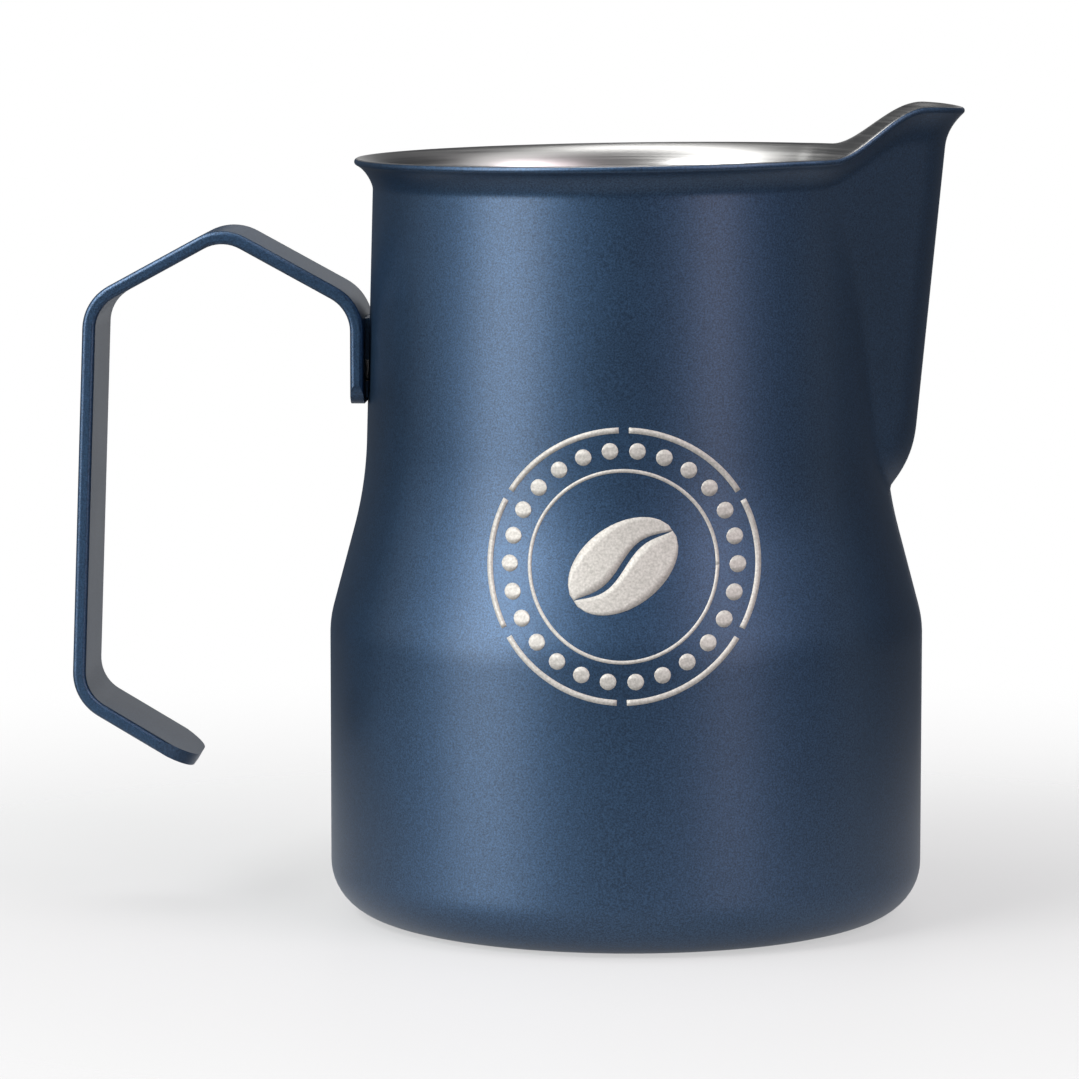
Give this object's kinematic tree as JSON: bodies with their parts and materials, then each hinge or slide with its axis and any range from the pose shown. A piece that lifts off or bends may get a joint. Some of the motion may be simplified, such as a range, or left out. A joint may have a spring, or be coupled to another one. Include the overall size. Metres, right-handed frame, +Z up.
{
  "type": "milk frothing pitcher",
  "caption": "Open steel pitcher for steaming and pouring milk, with a waisted body, a welded V spout and an open hooked strip handle.",
  "frame": {"origin": "centre of the flat base, on the axis of the round body", "axes": "+Z up along the body's axis, +X towards the spout, handle on the -X side, +Y across"},
  "size_m": [0.1288, 0.086, 0.1173],
  "materials": {
    "coated_steel": "satin dark blue metallic coat outside, bare brushed steel inside",
    "coated_weld": "satin dark blue metallic coat over ground weld metal",
    "coated_strip": "satin dark blue metallic coat"
  },
  "bodies": {
    "root": {"vessel_body": "coated_steel", "spout": "coated_steel", "spout_seam_weld": "coated_weld", "handle": "coated_strip", "handle_weld_upper": "coated_weld", "handle_weld_lower": "coated_weld"}
  },
  "joints": []
}
